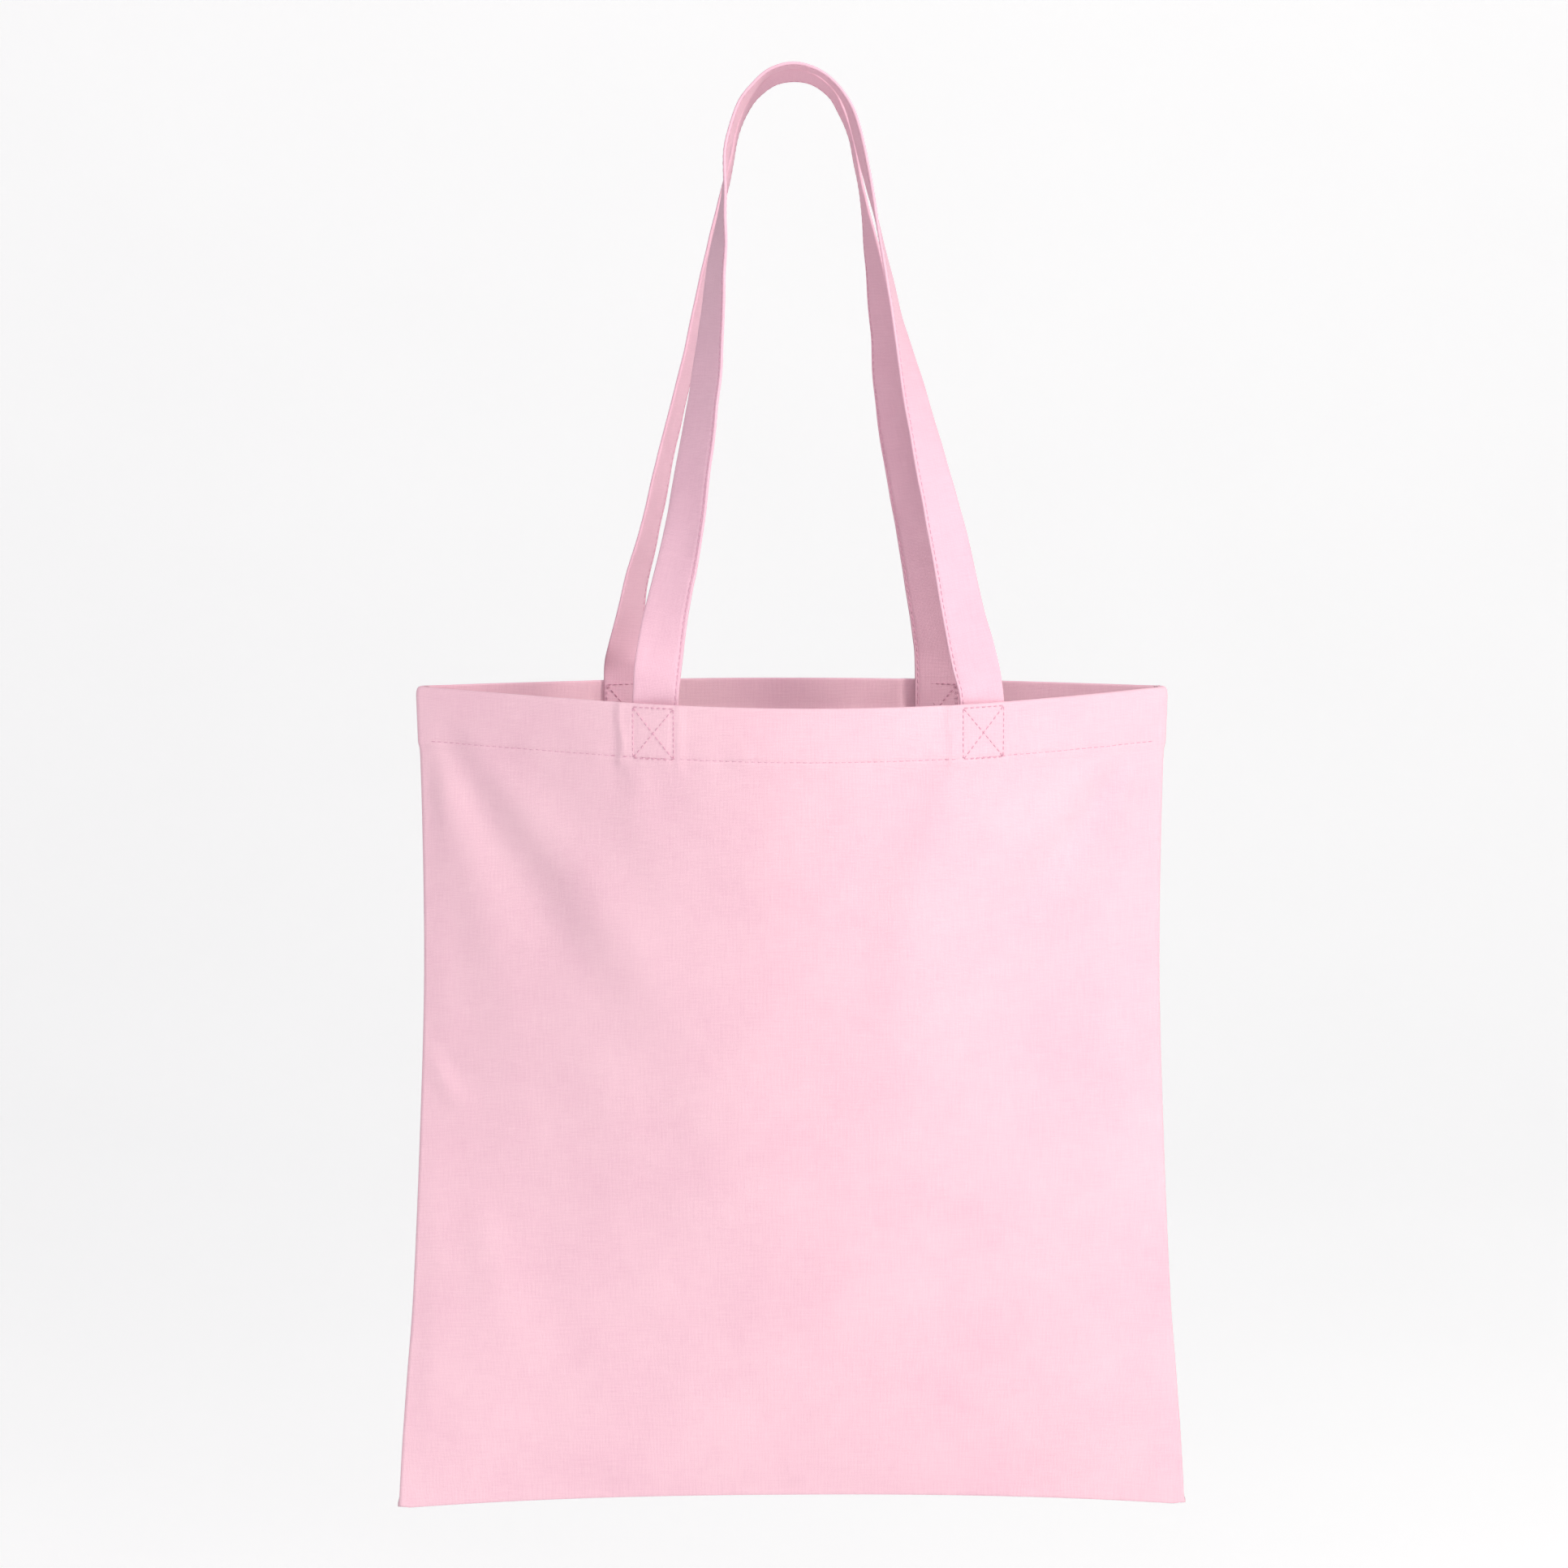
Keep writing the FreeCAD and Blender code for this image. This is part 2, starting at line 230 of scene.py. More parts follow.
def wovenMaterial(name, finish):
    material, tree, shader = newMaterial(name)
    place = Wire(tree, None).node("ShaderNodeUVMap", {"uv_map": "cloth"})
    across = place.node("ShaderNodeSeparateXYZ", None, {0: place})
    along = across.part(1)
    pitch = finish["pitch"]
    wander = place.blotches(90, 2.0)
    across = across + (wander - 0.5) * (pitch * finish["wander"])
    along = along + (place.blotches(110, 2.0) - 0.5) * (pitch * finish["wander"])
    warp = across.wave(pitch)
    weft = along.wave(pitch)
    over = (warp * weft).band(-0.25, 0.25)  # 1 where the warp thread lies on top
    crown = over * warp.size() + (1 - over) * weft.size()
    # thicker and thinner lengths of yarn, one set each way
    stretch = finish["slubStretch"]
    settings = {"operation": "MULTIPLY"}
    longWays = place.node("ShaderNodeVectorMath", settings, {0: place, 1: (stretch, 1, 1)})
    crossWays = place.node("ShaderNodeVectorMath", settings, {0: place, 1: (1, stretch, 1)})
    slubs = [way.blotches(finish["slubScale"], 3.0, 0.6) for way in (longWays, crossWays)]
    slub = slubs[0] * 0.5 + slubs[1] * 0.5
    cloudy = place.blotches(finish["cloudScale"], 4.0, 0.6)
    fuzz = place.blotches(finish["fuzzScale"], 2.0, 0.6)
    shares = finish["toneShares"]
    # the crown share paints shade into the hollows between threads; slubs, clouds and fuzz are the
    # yarn's own uneven tone
    tone = crown * shares["crown"] + slub * shares["slub"] + cloudy * shares["cloud"]
    tone = tone + fuzz * shares["fuzz"] - finish["toneShift"]
    colour = tone.band(0.10, 0.90).mixed(linear(finish["darkYarnAndHollowShade"]), linear(finish["cloth"]))
    shares = finish["heightShares"]
    height = crown * shares["crown"] + slub * shares["slub"] + fuzz * shares["fuzz"]
    relief = {"Strength": 1.0, "Distance": finish["bump"], "Height": height}
    bump = height.node("ShaderNodeBump", None, relief)
    rough = (1 - crown) * finish["hollowRoughness"] + finish["roughness"]
    for socket, wire in (("Base Color", colour), ("Roughness", rough), ("Normal", bump)):
        tree.links.new(wire.socket, shader.inputs[socket])
    shader.inputs["Sheen Weight"].default_value = finish["sheen"]
    shader.inputs["Sheen Roughness"].default_value = finish["sheenRoughness"]
    shader.inputs["Sheen Tint"].default_value = finish["sheenTint"]
    shader.inputs["Specular IOR Level"].default_value = finish["specular"]
    return material


holeShadedThreadFinish = {
    # the thread is coloured darker than the cloth to paint the shade of the needle holes along each row
    "thread": (226, 172, 192),
    "darkYarnAndHollowShade": (196, 140, 164),
    "ply": 0.00042,  # from one turn of the twist to the next
    "fuzzScale": 3000,
    "bump": 0.00008,
    "roughness": 0.74,
    "plyRoughness": 0.12,
    "sheen": 0.15,
    "specular": 0.3,
}

looseThreadFinish = {**holeShadedThreadFinish, "thread": (232, 186, 202)}


def threadMaterial(name, finish):
    material, tree, shader = newMaterial(name)
    place = Wire(tree, None).node("ShaderNodeTexCoord", None, None, 3)
    axes = place.node("ShaderNodeSeparateXYZ", None, {0: place})
    ply = (axes + axes.part(2)).wave(finish["ply"]).size()
    fuzz = place.blotches(finish["fuzzScale"], 2.0)
    # the ply share paints shade into the grooves of the twist; fuzz is the thread's own uneven tone
    tone = (ply * 0.7 + fuzz * 0.5).band(0.2, 1.0)
    colour = tone.mixed(linear(finish["darkYarnAndHollowShade"]), linear(finish["thread"]))
    relief = {"Strength": 0.8, "Distance": finish["bump"], "Height": ply}
    bump = ply.node("ShaderNodeBump", None, relief)
    rough = finish["roughness"] - ply * finish["plyRoughness"]
    for socket, wire in (("Base Color", colour), ("Roughness", rough), ("Normal", bump)):
        tree.links.new(wire.socket, shader.inputs[socket])
    shader.inputs["Sheen Weight"].default_value = finish["sheen"]
    shader.inputs["Specular IOR Level"].default_value = finish["specular"]
    return material


def stageMaterial():
    material, tree, shader = newMaterial("studioPaper")
    place = Wire(tree, None).node("ShaderNodeTexCoord", None, None, 3)
    tone = place.blotches(3, 2.0).band(0.2, 0.8)
    plain = studio["floorColour"]
    colour = tone.mixed(tuple(part * 0.985 for part in plain[:3]) + (1,), plain)
    tree.links.new(colour.socket, shader.inputs["Base Color"])
    shader.inputs["Roughness"].default_value = 0.95
    shader.inputs["Specular IOR Level"].default_value = 0.1
    shader.inputs["Emission Color"].default_value = (1, 1, 1, 1)
    shader.inputs["Emission Strength"].default_value = studio["paperGlow"]
    return material


# Meshes

def addPiece(name, bm, material, smooth=True):
    mesh = bpy.data.meshes.new(name)
    bm.to_mesh(mesh)
    bm.free()
    mesh.materials.append(material)
    for face in mesh.polygons:
        face.use_smooth = smooth
    piece = bpy.data.objects.new(name, mesh)
    scene.collection.objects.link(piece)
    return piece


def gridMesh(columns, rows, place, flatOf):
    # a sheet of cells whose corners place() puts, with a cloth map in metres
    bm = bmesh.new()
    wide = len(columns) - 1
    tall = len(rows) - 1
    bmesh.ops.create_grid(bm, x_segments=wide, y_segments=tall, size=0.5)
    clothMap = bm.loops.layers.uv.new("cloth")
    flat = {}
    for vert in bm.verts:
        column = columns[round((vert.co.x + 0.5) * wide)]
        row = rows[round((vert.co.y + 0.5) * tall)]
        flat[vert.index] = flatOf(column, row)
        vert.co = place(column, row)
    for face in bm.faces:
        for loop in face.loops:
            loop[clothMap].uv = flat[loop.vert.index]
    return bm


def between(stations, value):
    # a smooth curve through (position, value) stations
    last = len(stations) - 1
    if value <= stations[0][0]:
        return stations[0][1]
    if value >= stations[last][0]:
        return stations[last][1]
    index = max(i for i in range(last) if stations[i][0] <= value)
    (p0, v0), (p1, v1) = stations[index], stations[index + 1]
    before = stations[max(index - 1, 0)]
    after = stations[min(index + 2, last)]
    slope0 = (v1 - before[1]) / (p1 - before[0])
    slope1 = (after[1] - v0) / (after[0] - p0)
    span = p1 - p0
    t = (value - p0) / span
    return (
        (2 * t ** 3 - 3 * t ** 2 + 1) * v0
        + (t ** 3 - 2 * t ** 2 + t) * span * slope0
        + (3 * t ** 2 - 2 * t ** 3) * v1
        + (t ** 3 - t ** 2) * span * slope1
    )


def ease(low, high, value):
    t = min(max((value - low) / (high - low), 0), 1)
    return t * t * (3 - 2 * t)


def mix(first, second, share):
    return first + (second - first) * share


def addStage():
    bend = studio["bendRadius"]
    turned = bend * math.pi / 2
    flat = studio["bendStart"] - studio["floorFront"]
    total = flat + turned + studio["backdropTop"] - studio["floorZ"] - bend

    def place(column, row):
        at = row * total
        if at <= flat:
            return Vector((column, studio["floorFront"] + at, studio["floorZ"]))
        angle = min((at - flat) / bend, math.pi / 2)
        y = studio["bendStart"] + bend * math.sin(angle)
        z = studio["floorZ"] + bend * (1 - math.cos(angle)) + max(at - flat - turned, 0)
        return Vector((column, y, z))

    columns = [mix(-studio["halfWidth"], studio["halfWidth"], index / 4) for index in range(5)]
    rows = [index / 90 for index in range(91)]
    bm = gridMesh(columns, rows, place, lambda column, row: (column, row))
    paper = addPiece("studioFloor", bm, stageMaterial())


# The pouch

pouch = {
    "seamY": -0.008,  # plane of the side seams
    "rimZ": -0.2888,
    "depth": 0.4012,  # from the rim to the bottom corners
    "cloth": 0.0007,
    "seamGap": 0.0018,  # each panel's outer face from the seam plane
    "hem": 0.027,
    "hemLayer": 0.0016,  # from the outer face in to the hem's inner layer
    "thickLayer": 0.0023,  # the same where the raw edge is turned under
    "edgeLayer": 0.0008,  # the turned edge itself
    "turnedEdge": 0.008,
    "rimRound": 0.0010,
    "allowance": 0.009,
    "flatHalf": 0.190,  # half of a panel's width between the side seams
    "columnStep": 0.0016,
    "hemRowStep": 0.0007,
    "bodyStep": 0.0030,
    "crestShift": 0.07,  # how far the front's crest stands to one side, as a share
    "hemStep": 0.0006,  # how far the hem stands past the panel at the sides
    "cornerEase": 0.0004,
    "rimDip": {frontSide: 0.0016, backSide: 0.0006},
    "baseLift": 0.0078,  # how far the seam's middle is drawn up above its corners
    "baseSlope": 0.0011,
    "baseCorner": 0.0010,
    "halfWidths": [  # at distances below the rim
        (0.0, 0.1762), (0.060, 0.1748), (0.138, 0.1748), (0.216, 0.1778),
        (0.297, 0.1822), (0.336, 0.1856), (0.372, 0.1885), (0.401, 0.1903),
    ],
    "frontBow": [  # how far each panel stands out at its middle, at distances below the rim
        (0.0, 0.0640), (0.027, 0.0635), (0.140, 0.0500), (0.280, 0.0270),
        (0.345, 0.0150), (0.380, 0.0072), (0.401, 0.0012),
    ],
    "backBow": [
        (0.0, 0.0335), (0.027, 0.0330), (0.140, 0.0280), (0.280, 0.0160),
        (0.345, 0.0100), (0.380, 0.0052), (0.401, 0.0012),
    ],
}

# Drag folds, each along points (x, z) in millimetres, with its height and its half width.
frontFolds = [
    {"path": [(-168, -322), (-152, -372), (-137, -436), (-130, -480)], "height": 1.4, "width": 11},
    {"path": [(-160, -320), (-124, -378), (-94, -428), (-74, -470)], "height": -1.7, "width": 12},
    {"path": [(-146, -322), (-98, -376), (-62, -428), (-44, -462)], "height": 1.3, "width": 13},
    {"path": [(166, -322), (140, -362), (116, -398), (92, -440)], "height": 1.5, "width": 8},
    {"path": [(158, -322), (128, -360), (104, -392), (84, -425)], "height": -1.5, "width": 8},
    {"path": [(148, -320), (118, -352), (96, -378), (72, -400)], "height": 1.0, "width": 8},
    {"path": [(76, -318), (63, -356), (53, -384), (50, -420), (54, -478)], "height": 1.7, "width": 11},
    {"path": [(62, -318), (44, -350), (34, -382), (30, -424)], "height": -1.0, "width": 12},
    {"path": [(-72, -318), (-70, -345), (-60, -378)], "height": 0.9, "width": 8},
    {"path": [(-176, -466), (-160, -486), (-140, -496)], "height": 0.8, "width": 5},
    {"path": [(-172, -455), (-158, -474), (-142, -484)], "height": -0.5, "width": 5},
    {"path": [(176, -420), (160, -470), (152, -540), (158, -600)], "height": 1.8, "width": 13},
    {"path": [(-150, -540), (-138, -590), (-134, -640)], "height": 1.0, "width": 12},
    {"path": [(-186, -672), (-150, -640), (-120, -600)], "height": 1.3, "width": 10},
    {"path": [(184, -672), (146, -636), (110, -606)], "height": 1.3, "width": 11},
    {"path": [(-60, -688), (-57, -668), (-52, -648)], "height": 2.1, "width": 6},
    {"path": [(-36, -688), (-34, -666), (-32, -650)], "height": 1.8, "width": 5},
    {"path": [(58, -688), (57, -668), (52, -650)], "height": 1.9, "width": 6},
    {"path": [(88, -688), (85, -670), (80, -652)], "height": 1.9, "width": 6},
    {"path": [(-118, -688), (-112, -670), (-104, -656)], "height": 0.9, "width": 6},
    {"path": [(128, -688), (124, -672), (118, -660)], "height": 0.8, "width": 6},
    {"path": [(4, -688), (6, -672), (8, -662)], "height": 0.7, "width": 6},
]

backFolds = [
    {"path": [(-166, -322), (-138, -366), (-108, -410), (-84, -460)], "height": 1.7, "width": 11},
    {"path": [(-154, -320), (-120, -356), (-88, -392), (-64, -430)], "height": -1.5, "width": 11},
    {"path": [(168, -322), (146, -372), (128, -430), (118, -490)], "height": 1.7, "width": 10},
    {"path": [(158, -320), (126, -368), (100, -410), (84, -452)], "height": -1.6, "width": 10},
    {"path": [(-82, -318), (-66, -356), (-58, -398)], "height": 1.2, "width": 10},
    {"path": [(74, -318), (60, -352), (48, -388)], "height": 1.2, "width": 10},
    {"path": [(-176, -560), (-160, -610), (-154, -660)], "height": 1.3, "width": 11},
    {"path": [(180, -560), (164, -612), (158, -662)], "height": 1.3, "width": 11},
    {"path": [(-90, -688), (-86, -670), (-80, -654)], "height": 1.0, "width": 6},
    {"path": [(-20, -688), (-18, -672), (-14, -658)], "height": 0.9, "width": 6},
    {"path": [(40, -688), (42, -670), (46, -656)], "height": 1.0, "width": 6},
    {"path": [(110, -688), (106, -670), (100, -656)], "height": 0.9, "width": 6},
]

strapEnds = {  # where the straps are sewn in, left and right
    frontSide: (-0.0638, 0.0881),
    backSide: (-0.0785, 0.0696),
}

strapShape = {
    "width": 0.022,
    "stitchShare": 0.864,  # where the row of stitches runs, as a share of the half width
    "stitchEdge": {frontSide: -1, backSide: 1},
    "seed": {frontSide: 5.1, backSide: 23.9},
    "thickness": 0.0015,
    "depth": 0.0034,  # from the rim's outer face to the strap's middle
    "hookY": {frontSide: -0.0115, backSide: 0.0115},
    "tilt": 9,  # degrees that the loops lie back from the vertical
    "step": 0.0016,
}


def foldRise(folds, x, z):
    # x and z in millimetres
    rise = 0
    for fold in folds:
        path = fold["path"]
        reach = fold["width"] * 2.6
        if z > path[0][1] + reach or z < path[-1][1] - reach:
            continue
        nearest = None
        for index in range(len(path) - 1):
            (ax, az), (bx, bz) = path[index], path[index + 1]
            dx = bx - ax
            dz = bz - az
            share = ((x - ax) * dx + (z - az) * dz) / (dx * dx + dz * dz)
            share = min(max(share, 0), 1)
            gap = math.hypot(x - ax - dx * share, z - az - dz * share)
            if nearest is None or gap < nearest[0]:
                nearest = (gap, (index + share) / (len(path) - 1))
        gap, share = nearest
        if gap < reach:
            spread = fold["width"] * (0.75 + 0.9 * share)
            fade = ease(0, 0.12, share) * 0.55 + 0.45
            fade *= 1 - ease(0.45, 1.0, share)
            rise += fold["height"] * fade * math.exp(-((gap / spread) ** 2))
    return rise


crumples = {  # soft unevenness of hung cloth, in millimetres
    "seed": {frontSide: 3.7, backSide: 41.3},
    "waves": [(75, 95, 0, 1.5), (26, 34, 9, 0.42), (9, 10, 17, 0.10)],  # across, down, seed, height
}


def crumple(side, x, z):
    rise = 0
    for across, down, shift, height in crumples["waves"]:
        seed = crumples["seed"][side] + shift
        rise += height * noise.noise(Vector((x / across, z / down, seed)))
    return rise


@functools.lru_cache(maxsize=None)
def profile(name, t):
    return between(pouch[name], t)


def bowAt(side, u, t, inward):
    # distance out from the seam plane, before any folds
    bow = profile("frontBow" if side == frontSide else "backBow", t) - inward
    lean = u - pouch["crestShift"] * (1 - u * u) if side == frontSide else u
    return pouch["seamGap"] + bow * math.cos(math.pi / 2 * min(max(lean, -1), 1))


def halfWidthAt(t, inward):
    wide = profile("halfWidths", t)
    hem = pouch["hem"]
    wide += pouch["hemStep"] * (1 - ease(hem - 0.001, hem + 0.003, t)) * ease(0.0, 0.004, t)
    wide -= pouch["cornerEase"] * (1 - ease(0.0, 0.0015, t))  # the rim's corners are soft
    return wide - 2.4 * inward


def heightAt(side, u, t):
    rim = pouch["rimZ"] - pouch["rimDip"][side] * math.cos(math.pi / 2 * u)
    lift = pouch["baseLift"] * (1 - abs(u) ** 2.2) + pouch["baseSlope"] * u
    depth = pouch["depth"] - lift
    corner = pouch["baseCorner"] * ease(0.97, 1.0, abs(u)) * ease(0.37, 0.40, t)
    return rim - t * depth / pouch["depth"] + corner


hemPrint = {
    "bulge": 0.00055,  # over a strap end sewn behind the hem
    "lip": 0.00022,  # just past the strap end's edges
    "dip": 0.00034,  # along the box's upright rows
    "nip": 0.00100,  # a small ridge beside the left of each strap
    "nipWidth": 0.0015,
    "groove": 0.00008,
    "needleHole": 0.00030,
    "shortPucker": (0.0075, 0.00036),  # length along the hem and height
    "longPucker": (0.021, 0.00060),
    "rowRise": 0.0015,  # from the hem's lower edge up to its row of stitches
}


def strapPrint(side, x, t):
    rise = 0
    half = strapShape["width"] / 2
    for centre in strapEnds[side]:
        off = abs(x - centre)
        if off < half + 0.008 and t < 0.040:
            fade = 1 - ease(0.027, 0.038, t)
            rise += hemPrint["bulge"] * (1 - ease(half - 0.001, half + 0.004, off)) * fade
            rise += hemPrint["lip"] * math.exp(-(((off - half - 0.002) / 0.0018) ** 2)) * fade
            rise -= hemPrint["dip"] * math.exp(-(((off - half + 0.0018) / 0.0011) ** 2)) * fade
            nip = x - centre + half + 0.0042 + 0.0006 * math.sin(t / 0.004)
            ridge = hemPrint["nip"] * math.exp(-((nip / hemPrint["nipWidth"]) ** 2))
            rise += ridge * (1 - ease(0.026, 0.034, t))
    return rise


def stitchGroove(u, t, x):
    # a shallow groove under the hem's row of stitches, deeper at each needle hole, and the
    # puckers that the row draws across the cloth
    line = pouch["hem"] - hemPrint["rowRise"]
    pairs = round(pouch["flatHalf"] / pouch["columnStep"])
    holes = 0.5 + 0.5 * math.cos(math.pi * (u + 1) * pairs)
    groove = -(hemPrint["groove"] + hemPrint["needleHole"] * holes)
    groove *= math.exp(-(((t - line) / 0.0009) ** 2))
    length, height = hemPrint["shortPucker"]
    pucker = noise.noise(Vector((x / length, 2.5, 7.1))) * height
    length, height = hemPrint["longPucker"]
    pucker += noise.noise(Vector((x / length, 6.5, 1.1))) * height
    return groove + pucker * math.exp(-(((t - line) / 0.0080) ** 2))


def clothPoint(side, u, t, inward=0.0):
    # u runs from -1 to 1 between the side seams, and t is the distance below the rim
    half = halfWidthAt(t, inward)
    bow = bowAt(side, u, t, inward)
    x = half * u
    z = heightAt(side, u, t)
    calm = ease(1.0, 0.93, abs(u)) if abs(u) > 0.93 else 1
    foot = 1 - ease(0.387, 0.401, t)
    hemCalm = 0.5 + 0.5 * ease(0.018, 0.050, t)
    folds = frontFolds if side == frontSide else backFolds
    rise = crumple(side, x * 1000, z * 1000) * hemCalm * foot
    rise += foldRise(folds, x * 1000, z * 1000) * (0.3 + 0.7 * foot)
    rise = rise * calm / 1000
    if t < 0.05:
        rise += strapPrint(side, x, t) + stitchGroove(u, t, x) * calm
    # folds push out along the cloth's own normal
    slope = -bow * math.pi / 2 * math.sin(math.pi / 2 * u) / half
    length = math.hypot(1, slope)
    x -= rise * slope / length
    bow += rise / length
    return Vector((x, pouch["seamY"] + side * max(bow, 0.0009), z))


def clothNormal(side, u, t, inward=0.0):
    step = 0.004
    across = clothPoint(side, u + step, t, inward) - clothPoint(side, u - step, t, inward)
    down = clothPoint(side, u, t + 0.0008, inward) - clothPoint(side, u, t - 0.0008, inward)
    return (down.cross(across) * -side).normalized()


def pouchColumns():
    # each column is (share across, distance into the turned side allowance, flat distance)
    half = pouch["flatHalf"]
    count = 2 * round(half / pouch["columnStep"])
    shares = [index * 2 / count - 1 for index in range(count + 1)]
    inside = [(share, 0.0, half * share) for share in shares]
    turned = [0.0006, 0.0014, 0.0035, 0.0062, pouch["allowance"]]
    left = [(-1.0, reach, -half - reach) for reach in reversed(turned)]
    right = [(1.0, reach, half + reach) for reach in turned]
    return left + inside + right


def pouchRows():
    # each row is (distance below the rim, inward offset, turned-up share, flat distance),
    # from the raw edge inside the hem, up to the rim and down the outer face
    hem = pouch["hem"]
    edge = pouch["edgeLayer"]
    low = pouch["thickLayer"]
    high = pouch["hemLayer"]
    rim = pouch["rimRound"]
    fold = hem - edge
    path = []
    for index in range(4):
        path.append((mix(hem - pouch["turnedEdge"], fold, index / 3), edge))
    middle = (edge + low) / 2
    reach = (low - edge) / 2
    for index in range(1, 4):
        angle = math.pi * index / 4
        path.append((fold + reach * math.sin(angle), middle - reach * math.cos(angle)))
    upward = 14
    for index in range(upward + 1):
        t = mix(fold, rim, index / upward)
        path.append((t, mix(high, low, ease(0.013, 0.018, t))))
    for index in range(1, 8):
        angle = math.pi * index / 8
        path.append((rim - rim * math.sin(angle), high / 2 * (1 + math.cos(angle))))
    for t in (rim, 0.0025, 0.0045, 0.0070, 0.0095, 0.0120, 0.0145, 0.0170, 0.0190, 0.0210):
        path.append((t, 0.0))
    t = 0.0224
    while t < hem + 0.004:
        path.append((t, 0.0))
        t += pouch["hemRowStep"]
    foot = pouch["depth"] - 0.002
    count = round((foot - t) / pouch["bodyStep"])
    for index in range(count + 1):
        path.append((mix(t, foot, index / count), 0.0))
    rows = []
    flat = 0
    last = None
    for t, inward in path:
        if last:
            flat += math.hypot(t - last[0], inward - last[1])
        rows.append((t, inward, 0.0, flat))
        last = (t, inward)
    # the base folds up into its allowance
    foot = pouch["depth"]
    for t, share, step in (
        (foot - 0.0008, 0.0, 0.0012), (foot - 0.0001, 0.15, 0.001), (foot, 0.5, 0.001),
        (foot - 0.0003, 0.88, 0.001), (foot - 0.0011, 1.0, 0.001), (foot - 0.004, 1.0, 0.003),
        (foot - 0.0068, 1.0, 0.003), (foot - pouch["allowance"], 1.0, 0.003),
    ):
        flat += step
        rows.append((t, 0.0, share, flat))
    return rows


def pouchSheet(side):
    layerY = pouch["seamY"] + side * 0.0001  # right sides meet in the seam plane

    def place(column, row):
        u, reach, turned = column[0], column[1], row[2]
        t, inward = row[0], row[1]
        point = clothPoint(side, u, t, inward)
        if reach:
            # between the hem's layers the allowance is pressed short
            pressed = 1 - ease(pouch["hem"] - 0.001, pouch["hem"] + 0.006, t)
            full = mix(reach, reach * 0.28, pressed)
            share = ease(0, 0.0014, reach)
            hand = 1 if u > 0 else -1
            out = 0.0004 * math.sin(math.pi * min(reach / 0.0014, 1))
            into = full if inward < 0.0012 else -full
            point.x -= hand * (into * share - out)
            point.y = mix(point.y, layerY, share)
        if turned:
            point.y = mix(point.y, layerY, turned)
        return point

    bm = gridMesh(pouchColumns(), pouchRows(), place, lambda column, row: (column[2], row[3]))
    if side == frontSide:
        bmesh.ops.reverse_faces(bm, faces=bm.faces[:])
    return bm


def thicken(piece, thickness):
    shell = piece.modifiers.new("clothThickness", "SOLIDIFY")
    shell.thickness = thickness
    shell.offset = -1
    shell.use_even_offset = False
    return piece


# The straps

# Stations of each loop from its left end: (x, z) of its middle in millimetres, and how far
# it is turned from edge-on, in degrees. At 90 its inner face looks to the front, and at -90
# its outer face does. Both straps have their row of stitches along the inner edge.
strapRoutes = {
    frontSide: [
        (-64.2, -315.5, -77), (-63.4, -300, -77),
        (-62.6, -283.8, -77), (-61.5, -272, -84), (-58.2, -251, -70), (-51, -218, -57),
        (-45.5, -184, -48), (-40.5, -150, -40), (-37.2, -118, -32), (-34.2, -85, -20),
        (-31.4, -60, -4), (-30.4, -42, 3), (-27.8, -29, 4), (-24, -18.5, 3), (-18.7, -10.8, 0),
        (-10.5, -3, -2), (0.5, 0, -3), (12, -3, -2), (20.8, -10.3, 2), (26.2, -19, 5),
        (29.8, -30, 7), (32.7, -42, 7), (36.6, -59, 2), (42, -84, -6), (48.9, -116, -13),
        (56, -148, -30), (64, -182, -45), (72, -215, -56), (79.2, -251, -66), (84.2, -272, -80),
        (86.8, -283.8, -72),
        (88, -300, -72), (88.3, -315.5, -72),
    ],
    backSide: [
        (-78.5, -315.5, 80), (-78.5, -300, 80),
        (-78.5, -283.8, 80), (-78.2, -272, 50), (-76.4, -256, 30), (-72.4, -236, 25),
        (-66.3, -212, 21), (-58.5, -178, 17.5), (-51.2, -148, 14), (-45.2, -120, 11.5),
        (-38.5, -90, 9), (-32.6, -62, 4), (-28.2, -43, 1), (-25.5, -30, 1), (-21.8, -20.5, 2),
        (-16.6, -12.9, 3), (-8.2, -6.2, 5), (0.5, -4.3, 6), (9.6, -6.2, 5), (18.4, -12.6, 4),
        (23, -21, 3), (27.3, -32, 2), (30, -43, 1), (32.7, -57, 1), (35.9, -75, 9),
        (39.2, -95, 20), (43.6, -126, 31), (46.9, -154, 40), (51.7, -182, 49), (62.5, -236, 61),
        (68.6, -270, 77), (69.6, -283.8, 82),
        (69.6, -300, 82), (69.6, -315.5, 82),
    ],
}

# One face of the strap, as shares of its half width and half thickness. The dip near the
# last edge is where the row of stitches pulls the layers together.
strapFace = [
    (-1.0, 0.0), (-0.992, 0.50), (-0.965, 0.86), (-0.90, 1.04), (-0.70, 0.97), (-0.35, 0.90),
    (0.0, 0.88), (0.35, 0.90), (0.68, 0.98), (0.80, 0.96), (0.864, 0.72), (0.925, 0.98),
    (0.968, 0.86), (0.992, 0.50), (1.0, 0.0),
]


def rimY(side, x, inward):
    # the hem's y at x, for a layer that lies inward of its outer face
    u = x / halfWidthAt(0.012, 0)
    return pouch["seamY"] + side * (bowAt(side, u, 0.012, 0) - inward)


